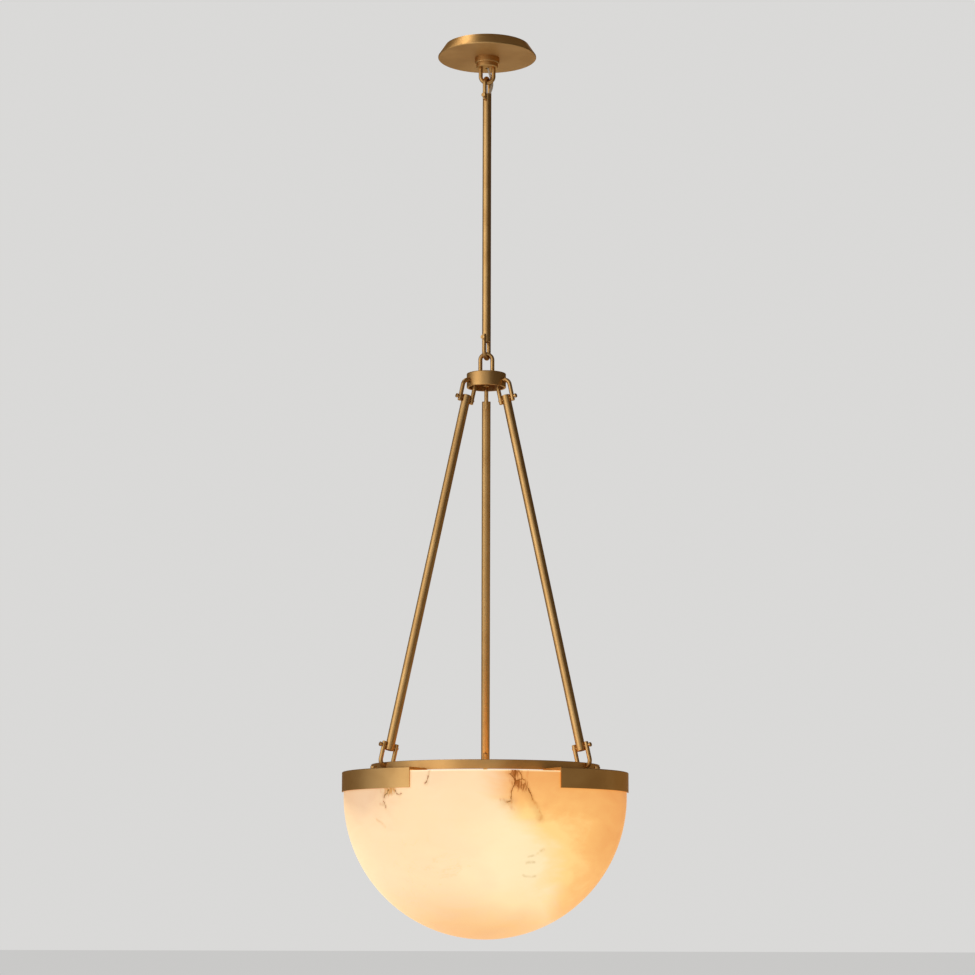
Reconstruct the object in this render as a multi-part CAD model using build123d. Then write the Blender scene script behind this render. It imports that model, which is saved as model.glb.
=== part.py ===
import math
import os

from build123d import *

# Alabaster bowl pendant, millimetres, +Z up.
# The origin is the centre of the canopy in the ceiling plane, and the front is -Y.
# Azimuths are counted from the front, positive towards +X.

# ---------------------------------------------------------------- driving sizes
# canopy and its fixings
canopy_dia = 144.8           # at the underside
canopy_top_dia = 124.0       # at the ceiling, as the side leans in
canopy_height = 17.5
canopy_wall = 1.2
canopy_edge = 0.6            # chamfer round the underside
canopy_land = 1.2            # upright edge above the chamfer
canopy_inner_edge = 0.6
crossbar_length = 104.0
crossbar_width = 20.0
crossbar_corner = 5.0
crossbar_thickness = 2.0
box_screw_spacing = 79.4     # junction-box screws
box_slot_length = 16.0
box_slot_width = 5.0
ground_screw_dia = 4.0
ground_screw_head_dia = 8.0
ground_screw_head_height = 2.6
ground_screw_edge = 15.0     # screw centre to the slot's end
nipple_dia = 9.7
nipple_bore = 6.4
nipple_top_gap = 0.3         # nipple's end below the ceiling plane
nipple_nut_flats = 14.0
nipple_nut_height = 3.5
collar_dia = 36.0
collar_height = 9.0
collar_round = 1.4
base_dia = 32.0
base_height = 6.5
base_floor = 2.5             # under the nipple's end
base_bore = 5.8              # the lead's way out
base_edge = 1.0

# round bar of the loops and shackles
bar_dia = 6.0
stud_dia = 5.0               # turned end of a loop's leg
loop_stud_length = 5.0
small_edge = 0.4             # chamfer on bar ends, heads and nuts
canopy_loop_spacing = 18.8   # between leg centres
canopy_loop_drop = 22.0      # base to the bow's centreline
pin_reach = 29.0             # bow's centreline to the pin
leg_past_pin = 5.5
link_gap = 0.3               # between two linked bars
link_yaw = 20.0              # plane of the two link shackles, from the side view

# pins and slotted screws
pin_dia = 3.0
pin_neck_dia = 4.2
pin_neck_length = 1.6
pin_head_dia = 6.2
pin_head_thickness = 2.3
pin_tail = 0.5               # past the far leg
slot_width = 0.9             # for a screwdriver
slot_depth = 0.6

# rods
rod_dia = 12.7
rod_wall = 1.0
rod_past_pin = 5.1
rod_edge = 0.35
down_rod_length = 373.2
lead_dia = 3.0
lead_join_depth = 15.3       # where the lead is held, inside each end of the rod
lead_straight = 1.5          # its straight end inside the base
lead_over_rod = 0.5          # where it straightens again above the rod
lead_bends = [               # its three bends: x, y and height over the loop's bow
    (4.6, 2.6, 13.0),
    (7.6, 5.6, 2.5),
    (6.6, 3.4, -8.0),
]

# hub
hub_dia = 57.0
hub_height = 20.8
hub_wall = 3.0
hub_plate = 3.5
hub_round = 1.2
hub_loop_rise = 28.9         # hub's top to the bow's centreline
hub_bow_drop = 11.7          # hub's top to the rod bows' centreline
nut_flats = 8.0              # nuts on the hub loop's studs
nut_height = 4.0
nut_gap = 0.7
bushing_dia = 8.0
bushing_bore = 3.6
bushing_length = 15.4        # below the hub's plate
bushing_flange_dia = 10.0
bushing_flange_thickness = 1.2

# gallery ring and its three clips
ring_inset = 43.0            # clips' outside to the middle of the ring's wall
ring_wall = 4.0
ring_height = 12.7
ring_edge = 0.5
tripod_drop = 560.7          # hub bows' centreline to ring bows' centreline
bow_below_ring_top = 6.7
rod_count = 3                # leaning rods, with one clip at each
clip_span = 59.0             # degrees
clip_reach = 203.0           # outside radius
clip_plate = 3.5
clip_flange = 2.0
clip_depth = 27.7            # plate's top to the flange's lower edge
clip_round = 1.2
clip_lip = 2.0               # plate inside the ring
clip_notch = 1.7             # how far the ring stands down between the clips

# alabaster bowl and what clamps it
bowl_gap = 0.5               # flange to stone
bowl_straight = 27.9         # rim to the start of the half sphere
bowl_wall = 15.0
bowl_rim_edge = 1.5
groove_top = 15.0            # below the rim
groove_height = 9.0
groove_depth = 6.0
rim_pad_thickness = 1.1
rim_pad_width = 11.0
rim_pad_span = 52.0
toe_pad_thickness = 1.0
block_span = 11.0
block_width = 12.5           # radial, without the toe
block_gap = 0.3              # block to the bowl's inside
block_top_gap = 1.6          # clamp travel left under the plate
block_foot = 2.5             # below the toe
toe_thickness = 6.0
bolt_dia = 5.0
bolt_head_dia = 8.5
bolt_head_height = 5.0
bolt_socket_flats = 4.0
bolt_socket_depth = 2.5
bolt_bite = 17.0             # length of thread in the block

# lamp bridge, stem and cluster inside the bowl
bridge_thickness = 2.0
bridge_arm_width = 18.0
bridge_arm_corner = 4.5
bridge_centre_dia = 62.0
bridge_arm_gap = 2.5         # arm's end to the clamp block
bridge_screw_dia = 4.0
bridge_screw_head_dia = 7.5
bridge_screw_head_height = 2.6
bridge_screw_edge = 5.0      # screw centre to the arm's end
stem_dia = 10.0
stem_bore = 7.0
stem_nut_flats = 14.0
stem_nut_height = 5.0
stem_above_nut = 1.5
cluster_drop = 66.0          # bridge to the top of the cluster
cluster_dia = 76.0
cluster_height = 30.0
cluster_wall = 1.5
cluster_round = 3.0
cover_nut_dia = 16.0
cover_nut_height = 9.0
cover_nut_edge = 3.0
cover_nut_thread = 4.5       # depth of its blind bore
lamp_turn = 20.0             # azimuth of the first lamp
lamp_count = 3
holder_dia = 28.0
holder_length = 30.0
holder_floor = 6.0
holder_round = 2.5
holder_stub_dia = 10.0
holder_stub_length = 6.0
lamp_cap_dia = 14.0
lamp_neck_dia = 16.0
lamp_neck_flare = 2.0        # from the holder's mouth to the full neck
lamp_globe_dia = 45.0
lamp_globe_reach = 33.0      # holder's mouth to the globe's centre

# clearances
seat_gap = 0.05              # a piece in its own hole
pin_gap = 0.08               # a pin in the rod that turns on it
thread_gap = 0.05
rod_side_gap = 0.45          # rod's wall to a shackle's leg
bow_gap = 0.3                # a bow in the hole that it hangs in
bolt_gap = 0.3               # a bolt or screw in its clearance hole
nipple_gap = 0.2             # the nipple in the canopy's hole
lead_gap = 0.3               # the lead and a pin that it passes
toe_side_gap = 0.6           # a clamp's toe and the bottom of its groove
pad_side_gap = 0.3           # a toe pad and the mouth of its groove
holder_gap = 0.3             # a lampholder's back and the cluster's side
lamp_gap = 0.3               # a lamp's cap in its holder
overshoot = 1.0              # how far a cut runs past what it cuts
arc_middle = 1 - math.sqrt(0.5)   # where a quarter round's middle lies, as a share of its radius

# ---------------------------------------------------------------- worked out
ground_screw_x = box_screw_spacing / 2 - box_slot_length / 2 - ground_screw_edge
rod_turn = 360 / rod_count
rod_azimuths = {"left": -rod_turn / 2, "right": rod_turn / 2, "back": 3 * rod_turn / 2}
shackle_spacing = rod_dia + 2 * rod_side_gap + bar_dia
hub_loop_spacing = bushing_dia + 2 * nut_gap + nut_flats
bow_radius = shackle_spacing / 2

ring_radius = clip_reach - ring_inset

canopy_floor_z = -canopy_height
collar_bottom_z = canopy_floor_z - collar_height
base_bottom_z = collar_bottom_z - base_height
canopy_bow_z = base_bottom_z - canopy_loop_drop
upper_bow_z = canopy_bow_z + bar_dia + link_gap
upper_pin_z = upper_bow_z - pin_reach
rod_top_z = upper_pin_z + rod_past_pin
rod_bottom_z = rod_top_z - down_rod_length
lead_join_z = rod_top_z - lead_join_depth
lower_pin_z = rod_bottom_z + rod_past_pin
lower_bow_z = lower_pin_z - pin_reach
hub_bow_z = lower_bow_z + bar_dia + link_gap
hub_top_z = hub_bow_z - hub_loop_rise
hub_bottom_z = hub_top_z - hub_height
hub_wall_radius = (hub_dia - hub_wall) / 2

tripod_top_z = hub_top_z - hub_bow_drop
tripod_bottom_z = tripod_top_z - tripod_drop
tripod_spread = ring_radius - hub_wall_radius
tripod_length = math.hypot(tripod_spread, tripod_drop)
tripod_lean = math.degrees(math.atan2(tripod_spread, tripod_drop))

ring_top_z = tripod_bottom_z + bow_below_ring_top
ring_bottom_z = ring_top_z - ring_height
plate_top_z = ring_bottom_z + clip_notch
plate_bottom_z = plate_top_z - clip_plate
ring_inner = ring_radius - ring_wall / 2
ring_outer = ring_radius + ring_wall / 2
plate_inner = ring_inner - clip_lip

bowl_radius = clip_reach - clip_flange - bowl_gap
bowl_inner = bowl_radius - bowl_wall
rim_z = plate_bottom_z - rim_pad_thickness
bowl_centre_z = rim_z - bowl_straight
groove_top_z = rim_z - groove_top
groove_bottom_z = groove_top_z - groove_height
toe_top_z = groove_top_z - toe_pad_thickness
toe_bottom_z = toe_top_z - toe_thickness
block_outer = bowl_inner - block_gap
block_inner = block_outer - block_width
block_top_z = plate_bottom_z - block_top_gap
block_bottom_z = toe_bottom_z - block_foot
bolt_radius = block_outer - block_width / 2
toe_reach = bowl_inner + groove_depth - toe_side_gap

bridge_top_z = plate_bottom_z
bridge_bottom_z = bridge_top_z - bridge_thickness
bridge_arm_reach = block_inner - bridge_arm_gap
bridge_screw_radius = bridge_arm_reach - bridge_screw_edge
cluster_top_z = bridge_bottom_z - cluster_drop
cluster_bottom_z = cluster_top_z - cluster_height
lamp_axis_z = cluster_top_z - cluster_height / 2
holder_start = cluster_dia / 2 + holder_gap
holder_mouth = holder_start + holder_length
holder_bore = lamp_cap_dia + 2 * lamp_gap
lamp_cap_start = holder_start + holder_floor + lamp_gap


# ---------------------------------------------------------------- helpers
def save(name, shape):
    shape.label = name
    export_step(shape, os.path.join("parts", name + ".step"))


def group(solids):
    """Several separate solids that share one node."""
    return Compound(children=[s if isinstance(s, Solid) else s.solid() for s in solids])


def at_azimuth(shape, azimuth):
    """Turn a piece drawn along +X to its azimuth from the front."""
    return Rot(0, 0, azimuth - 90) * shape


def turned(points):
    """A solid of revolution about Z, from (radius, z) points."""
    return revolve(make_face(Polyline(*[(r, 0, z) for r, z in points], close=True)), Axis.Z)


def cylinder(diameter, z_low, z_high):
    standing = (Align.CENTER, Align.CENTER, Align.MIN)
    return Pos(0, 0, z_low) * Cylinder(diameter / 2, z_high - z_low, align=standing)


def tube(diameter, bore, z_low, z_high):
    return cylinder(diameter, z_low, z_high) - cylinder(bore, z_low - overshoot, z_high + overshoot)


def hex_nut(flats, bore, z_low, z_high):
    blank = extrude(RegularPolygon(flats / 2, 6, major_radius=False), z_high - z_low)
    # the nut's flats face +X and -X
    hole = cylinder(bore, z_low - overshoot, z_high + overshoot)
    return Pos(0, 0, z_low) * Rot(0, 0, 30) * blank - hole


def arch(spacing, leg_length):
    """Round bar bent to an arch: its bow's apex at the origin, its legs down along Z, in the XZ plane."""
    radius = spacing / 2
    left = Line((-radius, 0, -radius - leg_length), (-radius, 0, -radius))
    bow = ThreePointArc((-radius, 0, -radius), (0, 0, 0), (radius, 0, -radius))
    right = Line((radius, 0, -radius), (radius, 0, -radius - leg_length))
    section = Plane(origin=left @ 0, z_dir=(0, 0, 1)) * Circle(bar_dia / 2)
    return sweep(section, path=left + bow + right)


def shackle():
    """Arch with a cross hole for the pin, its bow's apex at the origin."""
    bar = arch(shackle_spacing, pin_reach + leg_past_pin - bow_radius)
    ends = bar.faces().filter_by(Axis.Z)
    bar = chamfer(ends.edges(), small_edge)
    hole = Cylinder(pin_dia / 2 + seat_gap, shackle_spacing + 2 * bar_dia)
    return bar - Pos(0, 0, -pin_reach) * Rot(0, 90, 0) * hole


def driver_slot(z):
    """Cutter for a screwdriver's slot across a head whose face is at z."""
    return Pos(0, 0, z) * Box(2 * pin_head_dia, slot_width, 2 * slot_depth)


def pin():
    """Slotted clevis screw along X, with its head at +X, centred between the shackle's legs."""
    leg_face = shackle_spacing / 2 + bar_dia / 2
    neck_end = leg_face + pin_neck_length
    head_end = neck_end + pin_head_thickness
    outline = [
        (0, -leg_face - pin_tail),
        (pin_dia / 2, -leg_face - pin_tail),
        (pin_dia / 2, leg_face + seat_gap),
        (pin_neck_dia / 2, leg_face + seat_gap),
        (pin_neck_dia / 2, neck_end),
        (pin_head_dia / 2, neck_end),
        (pin_head_dia / 2, head_end - small_edge),
        (pin_head_dia / 2 - small_edge, head_end),
        (0, head_end),
    ]
    return Rot(0, 90, 0) * (turned(outline) - driver_slot(head_end))


def loop(spacing, rise, stud_length):
    """Arch with a turned stud below each leg, its bow's apex at the origin and its shoulders at -rise."""
    bar = arch(spacing, rise - spacing / 2)
    stud = cylinder(stud_dia, -rise - stud_length, -rise)
    for side in (-1, 1):
        bar += Pos(side * spacing / 2, 0, 0) * stud
    return bar


def rod(length):
    """Tube along -Z from the origin, with a pin hole across X near each end."""
    body = tube(rod_dia, rod_dia - 2 * rod_wall, -length, 0)
    rims = body.edges().filter_by(lambda edge: edge.geom_type == GeomType.CIRCLE)
    body = chamfer(rims.group_by(SortBy.RADIUS)[-1], rod_edge)
    hole = Rot(0, 90, 0) * Cylinder(pin_dia / 2 + pin_gap, rod_dia + overshoot)
    for z in (-rod_past_pin, rod_past_pin - length):
        body -= Pos(0, 0, z) * hole
    return body


def bow_hole(wall, lean):
    """Diameter of a radial hole that a leaning bow passes with bow_gap to spare, and its height off the apex.

    The wall cuts the bow between u = -wall / 2 and wall / 2 of its apex. The bow is an arc about a point that
    lies bow_radius away along the leaning rod, so its lower and upper faces are arcs about the same point.
    """
    side = bow_radius * math.sin(math.radians(lean))
    up = bow_radius * math.cos(math.radians(lean))
    near = max(0.0, side - wall / 2)
    far = side + wall / 2
    inner = bow_radius - bar_dia / 2
    outer = bow_radius + bar_dia / 2
    top = up - math.sqrt(inner**2 - far**2)
    bottom = up - math.sqrt(outer**2 - near**2)
    return top - bottom + 2 * bow_gap, (top + bottom) / 2


# ---------------------------------------------------------------- canopy
def crossbar():
    plate = Rectangle(crossbar_length, crossbar_width)
    plate = fillet(plate.vertices(), crossbar_corner)
    slot = SlotOverall(box_slot_length, box_slot_width)
    for side in (-1, 1):
        plate -= Pos(side * box_screw_spacing / 2, 0) * slot
    plate -= Circle(nipple_dia / 2 + thread_gap)
    plate -= Pos(ground_screw_x, 0) * Circle(ground_screw_dia / 2 + thread_gap)
    return Pos(0, 0, -crossbar_thickness) * extrude(plate, crossbar_thickness)


def ground_screw():
    head_top = -crossbar_thickness
    head_bottom = head_top - ground_screw_head_height
    screw = cylinder(ground_screw_head_dia, head_bottom, head_top)
    screw = chamfer(screw.edges().group_by(Axis.Z)[0], small_edge)
    screw += cylinder(ground_screw_dia, head_top, -nipple_top_gap)
    return Pos(ground_screw_x, 0, 0) * (screw - driver_slot(head_bottom))


def threaded_nipple():
    return tube(nipple_dia, nipple_bore, base_bottom_z + base_floor, -nipple_top_gap)


def nipple_locknut():
    top = -crossbar_thickness
    return hex_nut(nipple_nut_flats, nipple_dia + 2 * thread_gap, top - nipple_nut_height, top)


def canopy_shell():
    """Spun dish, open towards the ceiling, whose side leans in towards the ceiling above a narrow upright edge."""
    outer = canopy_dia / 2
    top_outer = canopy_top_dia / 2
    hole = nipple_dia / 2 + nipple_gap
    inside_z = canopy_floor_z + canopy_wall
    land_top = canopy_floor_z + canopy_edge + canopy_land
    lean = (outer - top_outer) / -land_top
    level_wall = canopy_wall * math.hypot(1, lean)
    inner_corner_z = inside_z + canopy_inner_edge
    inner_corner = min(top_outer - level_wall - lean * inner_corner_z, outer - canopy_wall)
    return turned([
        (hole, canopy_floor_z),
        (outer - canopy_edge, canopy_floor_z),
        (outer, canopy_floor_z + canopy_edge),
        (outer, land_top),
        (top_outer, 0),
        (top_outer - level_wall, 0),
        (inner_corner, inner_corner_z),
        (inner_corner - canopy_inner_edge, inside_z),
        (hole, inside_z),
    ])


def collar_ring():
    """Lock collar with an eased lower edge, turned in two cuts."""
    outer = collar_dia / 2
    hole = nipple_dia / 2 + thread_gap
    return turned([
        (hole, canopy_floor_z),
        (outer, canopy_floor_z),
        (outer, collar_bottom_z + collar_round),
        (outer - collar_round * arc_middle, collar_bottom_z + collar_round * arc_middle),
        (outer - collar_round, collar_bottom_z),
        (hole, collar_bottom_z),
    ])


def loop_base():
    base = cylinder(base_dia, base_bottom_z, collar_bottom_z)
    base = chamfer(base.edges().group_by(Axis.Z)[0], base_edge)
    base -= cylinder(nipple_dia + 2 * thread_gap, base_bottom_z + base_floor, collar_bottom_z + overshoot)
    base -= cylinder(base_bore, base_bottom_z - overshoot, collar_bottom_z)
    socket_top = base_bottom_z + loop_stud_length + thread_gap
    socket = cylinder(stud_dia + 2 * thread_gap, base_bottom_z - overshoot, socket_top)
    for side in (-1, 1):
        base -= Pos(side * canopy_loop_spacing / 2, 0, 0) * socket
    return base


def canopy_loop():
    """Its studs go up into the base."""
    upright = loop(canopy_loop_spacing, canopy_loop_drop, loop_stud_length)
    return Pos(0, 0, canopy_bow_z) * Rot(180, 0, 0) * upright


# ---------------------------------------------------------------- links and down rod
def link_place(z):
    """Frame of the link shackles and their pins: X runs along the pin, towards its head at the front."""
    return Pos(0, 0, z) * Rot(0, 0, -90 - link_yaw)


def down_tube():
    return link_place(rod_top_z) * rod(down_rod_length)


def lead_side():
    """Where the lead passes the pins inside the rod: beside the pin, square to it."""
    reach = pin_dia / 2 + lead_gap + lead_dia / 2
    angle = math.radians(-link_yaw)
    return reach * math.cos(angle), reach * math.sin(angle)


def supply_lead():
    """Lead from the nipple's top, out of the base, behind the canopy loop and into the down rod."""
    x, y = lead_side()
    route = [
        (0, 0, -nipple_top_gap),
        (0, 0, base_bottom_z + lead_straight),
        *[(bend_x, bend_y, canopy_bow_z + height) for bend_x, bend_y, height in lead_bends],
        (x, y, rod_top_z + lead_over_rod),
        (x, y, lead_join_z),
    ]
    radii = corner_radii(route)
    print("supply lead radii:", [round(r, 1) for r in radii])
    path = FilletPolyline(*route, radius=radii)
    section = Plane(origin=route[0], z_dir=(0, 0, -1)) * Circle(lead_dia / 2)
    lead = sweep(section, path=path)
    wanted = path.length * math.pi * (lead_dia / 2) ** 2
    print("supply lead length", round(path.length, 1))
    print("supply lead volume", round(lead.volume, 1), "wanted", round(wanted, 1))
    return lead


def corner_radii(route):
    """Each arc as large as its two runs allow: 0.45 of the shorter run over the tangent of half the turn."""
    points = [Vector(*p) for p in route]
    radii = []
    for before, corner, after in zip(points, points[1:], points[2:]):
        run_in = corner - before
        run_out = after - corner
        half_turn = math.radians(run_in.get_angle(run_out)) / 2
        radii.append(0.45 * min(run_in.length, run_out.length) / math.tan(half_turn))
    return radii


def rod_lead():
    x, y = lead_side()
    return Pos(x, y, 0) * cylinder(lead_dia, rod_bottom_z + lead_join_depth, lead_join_z)


# ---------------------------------------------------------------- hub
def hub_cup():
    outer = hub_dia / 2
    inner = outer - hub_wall
    inside_z = hub_top_z - hub_plate
    bore = bushing_dia / 2 + thread_gap
    cup = turned([
        (bore, hub_top_z),
        (outer - hub_round, hub_top_z),
        (outer - hub_round * arc_middle, hub_top_z - hub_round * arc_middle),
        (outer, hub_top_z - hub_round),
        (outer, hub_bottom_z + small_edge),
        (outer - small_edge, hub_bottom_z),
        (inner, hub_bottom_z),
        (inner, inside_z),
        (bore, inside_z),
    ])
    stud_hole = cylinder(stud_dia + 2 * seat_gap, hub_bottom_z, hub_top_z + overshoot)
    for side in (-1, 1):
        cup -= Pos(side * hub_loop_spacing / 2, 0, 0) * stud_hole
    hole_dia, above_apex = bow_hole(hub_wall, tripod_lean)
    # the bow is an arch here, so the hole's centre lies below its apex
    for azimuth in rod_azimuths.values():
        drill = Pos(hub_wall_radius, 0, tripod_top_z - above_apex) * Rot(0, 90, 0)
        cup -= at_azimuth(drill * Cylinder(hole_dia / 2, hub_wall * 3), azimuth)
    return cup


def hub_loop():
    """It stands on the hub, its studs through the plate and the nuts."""
    return Pos(0, 0, hub_bow_z) * loop(hub_loop_spacing, hub_loop_rise, hub_plate + nut_height)


def hub_loop_nuts():
    top = hub_top_z - hub_plate
    nut = hex_nut(nut_flats, stud_dia + 2 * thread_gap, top - nut_height, top)
    return group([Pos(side * hub_loop_spacing / 2, 0, 0) * nut for side in (-1, 1)])


def hub_bushing():
    low = hub_top_z - hub_plate - bushing_length
    bush = cylinder(bushing_dia, low, hub_top_z)
    bush += cylinder(bushing_flange_dia, hub_top_z, hub_top_z + bushing_flange_thickness)
    bush = chamfer(bush.edges().group_by(Axis.Z)[0], small_edge)
    return bush - cylinder(bushing_bore, low - overshoot, hub_top_z + bushing_flange_thickness + overshoot)


# ---------------------------------------------------------------- three leaning rods
def tripod_place(azimuth):
    """Frame with its origin at the hub bow's apex, -Z down along the rod and +X outwards."""
    lean = math.radians(tripod_lean)
    frame = Plane(
        origin=(hub_wall_radius, 0, tripod_top_z),
        x_dir=(math.cos(lean), 0, math.sin(lean)),
        z_dir=(-math.sin(lean), 0, math.cos(lean)),
    )
    return Rot(0, 0, azimuth - 90) * frame.location


def save_tripod_rod(side, azimuth):
    place = tripod_place(azimuth)
    tube_top = -(pin_reach - rod_past_pin)
    tube_length = tripod_length - 2 * (pin_reach - rod_past_pin)
    save(side + "_top_shackle", place * shackle())
    save(side + "_top_pin", place * Pos(0, 0, -pin_reach) * pin())
    save(side + "_tube", place * Pos(0, 0, tube_top) * rod(tube_length))
    save(side + "_bottom_shackle", place * Pos(0, 0, -tripod_length) * Rot(180, 0, 0) * shackle())
    save(side + "_bottom_pin", place * Pos(0, 0, pin_reach - tripod_length) * pin())


# ---------------------------------------------------------------- gallery ring and clips
def arc_piece(points, span):
    """A profile of (radius, z) points, carried through span degrees about the azimuth of +X."""
    face = make_face(Polyline(*[(r, 0, z) for r, z in points], close=True))
    return Rot(0, 0, -span / 2) * revolve(face, Axis.Z, span)


def gallery_ring():
    ring = tube(2 * ring_outer, 2 * ring_inner, ring_bottom_z, ring_top_z)
    top_edges = ring.edges().group_by(Axis.Z)[-1]
    ring = chamfer(top_edges, ring_edge)
    hole_dia, above_apex = bow_hole(ring_wall, tripod_lean)
    drill = Rot(0, 90, 0) * Cylinder(hole_dia / 2, ring_wall * 3)
    drill = Pos(ring_radius, 0, tripod_bottom_z + above_apex) * drill
    # a notch in the lower edge seats each clip
    side_gap = math.degrees(2 * seat_gap / ring_radius)
    notch = arc_piece([
        (ring_inner - overshoot, ring_bottom_z - overshoot),
        (ring_outer + overshoot, ring_bottom_z - overshoot),
        (ring_outer + overshoot, plate_top_z),
        (ring_inner - overshoot, plate_top_z),
    ], clip_span + 2 * side_gap)
    for azimuth in rod_azimuths.values():
        ring -= at_azimuth(drill, azimuth)
        ring -= at_azimuth(notch, azimuth)
    return ring


def clip(azimuth):
    """Inverted-L band: a plate on the bowl's rim and a flange down its outside."""
    flange_inner = clip_reach - clip_flange
    corner = clip_round
    outline = Polyline(
        (clip_reach - corner, 0, plate_top_z),
        (plate_inner, 0, plate_top_z),
        (plate_inner, 0, plate_bottom_z),
        (flange_inner, 0, plate_bottom_z),
        (flange_inner, 0, plate_top_z - clip_depth),
        (clip_reach, 0, plate_top_z - clip_depth),
        (clip_reach, 0, plate_top_z - corner),
    )
    round_edge = ThreePointArc(
        (clip_reach, 0, plate_top_z - corner),
        (clip_reach - corner * arc_middle, 0, plate_top_z - corner * arc_middle),
        (clip_reach - corner, 0, plate_top_z),
    )
    face = make_face(outline + round_edge)
    body = Rot(0, 0, -clip_span / 2) * revolve(face, Axis.Z, clip_span)
    low = plate_bottom_z - overshoot
    high = plate_top_z + overshoot
    bolt_hole = cylinder(bolt_dia + 2 * bolt_gap, low, high)
    screw_hole = cylinder(bridge_screw_dia + 2 * thread_gap, low, high)
    body -= Pos(bolt_radius, 0, 0) * bolt_hole
    body -= Pos(bridge_screw_radius, 0, 0) * screw_hole
    return at_azimuth(body, azimuth)


def rim_pads():
    middle = bowl_inner + bowl_wall / 2
    pad = arc_piece([
        (middle - rim_pad_width / 2, rim_z),
        (middle + rim_pad_width / 2, rim_z),
        (middle + rim_pad_width / 2, plate_bottom_z),
        (middle - rim_pad_width / 2, plate_bottom_z),
    ], rim_pad_span)
    return group([at_azimuth(pad, azimuth) for azimuth in rod_azimuths.values()])


# ---------------------------------------------------------------- alabaster bowl and its clamps
def alabaster_bowl():
    """Straight rim band over a half sphere, one even wall, with a groove for the clamps round its inside."""
    edge = bowl_rim_edge
    middle = 1 - arc_middle
    outside = ThreePointArc(
        (bowl_radius, 0, bowl_centre_z),
        (bowl_radius * middle, 0, bowl_centre_z - bowl_radius * middle),
        (0, 0, bowl_centre_z - bowl_radius),
    )
    inside = ThreePointArc(
        (0, 0, bowl_centre_z - bowl_inner),
        (bowl_inner * middle, 0, bowl_centre_z - bowl_inner * middle),
        (bowl_inner, 0, bowl_centre_z),
    )
    band = Polyline(
        (bowl_inner, 0, bowl_centre_z),
        (bowl_inner, 0, groove_bottom_z),
        (bowl_inner + groove_depth, 0, groove_bottom_z),
        (bowl_inner + groove_depth, 0, groove_top_z),
        (bowl_inner, 0, groove_top_z),
        (bowl_inner, 0, rim_z - edge),
        (bowl_inner + edge, 0, rim_z),
        (bowl_radius - edge, 0, rim_z),
        (bowl_radius, 0, rim_z - edge),
        (bowl_radius, 0, bowl_centre_z),
    )
    wall = Line((0, 0, bowl_centre_z - bowl_radius), (0, 0, bowl_centre_z - bowl_inner))
    return revolve(make_face(outside + wall + inside + band), Axis.Z)


def clamp_block(azimuth):
    """Block behind the bowl's wall, whose toe lifts the stone by its groove."""
    block = arc_piece([
        (block_inner, block_top_z),
        (block_outer, block_top_z),
        (block_outer, toe_top_z),
        (toe_reach, toe_top_z),
        (toe_reach, toe_bottom_z),
        (block_outer, toe_bottom_z),
        (block_outer, block_bottom_z),
        (block_inner, block_bottom_z),
    ], block_span)
    tapped = cylinder(bolt_dia + 2 * thread_gap, block_bottom_z - overshoot, block_top_z + overshoot)
    return at_azimuth(block - Pos(bolt_radius, 0, 0) * tapped, azimuth)


def toe_pads():
    pad = arc_piece([
        (bowl_inner + pad_side_gap, toe_top_z),
        (toe_reach, toe_top_z),
        (toe_reach, groove_top_z),
        (bowl_inner + pad_side_gap, groove_top_z),
    ], block_span)
    return group([at_azimuth(pad, azimuth) for azimuth in rod_azimuths.values()])


def clamp_bolts():
    bolt = cylinder(bolt_head_dia, plate_top_z, plate_top_z + bolt_head_height)
    bolt = chamfer(bolt.edges().group_by(Axis.Z)[-1], small_edge)
    bolt += cylinder(bolt_dia, block_top_z - bolt_bite, plate_top_z)
    hexagon = RegularPolygon(bolt_socket_flats / 2, 6, major_radius=False)
    socket = extrude(hexagon, bolt_socket_depth + overshoot)
    bolt -= Pos(0, 0, plate_top_z + bolt_head_height - bolt_socket_depth) * socket
    placed = Pos(bolt_radius, 0, 0) * bolt
    return group([at_azimuth(placed, azimuth) for azimuth in rod_azimuths.values()])


# ---------------------------------------------------------------- lamp bridge and cluster
def lamp_bridge():
    arm = Pos(bridge_arm_reach / 2, 0) * Rectangle(bridge_arm_reach, bridge_arm_width)
    arm = fillet(arm.vertices().group_by(Axis.X)[-1], bridge_arm_corner)
    plate = Circle(bridge_centre_dia / 2)
    for azimuth in rod_azimuths.values():
        plate += at_azimuth(arm, azimuth)
    plate -= Circle(stem_dia / 2 + seat_gap)
    screw_hole = Pos(bridge_screw_radius, 0) * Circle(bridge_screw_dia / 2 + bolt_gap)
    for azimuth in rod_azimuths.values():
        plate -= at_azimuth(screw_hole, azimuth)
    return Pos(0, 0, bridge_bottom_z) * extrude(plate, bridge_thickness)


def bridge_screws():
    head = cylinder(bridge_screw_head_dia, bridge_bottom_z - bridge_screw_head_height, bridge_bottom_z)
    head = chamfer(head.edges().group_by(Axis.Z)[0], small_edge)
    screw = head + cylinder(bridge_screw_dia, bridge_bottom_z, plate_top_z)
    screw -= driver_slot(bridge_bottom_z - bridge_screw_head_height)
    placed = Pos(bridge_screw_radius, 0, 0) * screw
    return group([at_azimuth(placed, azimuth) for azimuth in rod_azimuths.values()])


def cluster_stem():
    top = bridge_top_z + stem_nut_height + stem_above_nut
    low = cluster_bottom_z - cover_nut_thread + seat_gap
    return tube(stem_dia, stem_bore, low, top)


def bridge_nuts():
    bore = stem_dia + 2 * thread_gap
    upper = hex_nut(stem_nut_flats, bore, bridge_top_z, bridge_top_z + stem_nut_height)
    lower = hex_nut(stem_nut_flats, bore, bridge_bottom_z - stem_nut_height, bridge_bottom_z)
    return group([upper, lower])


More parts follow.
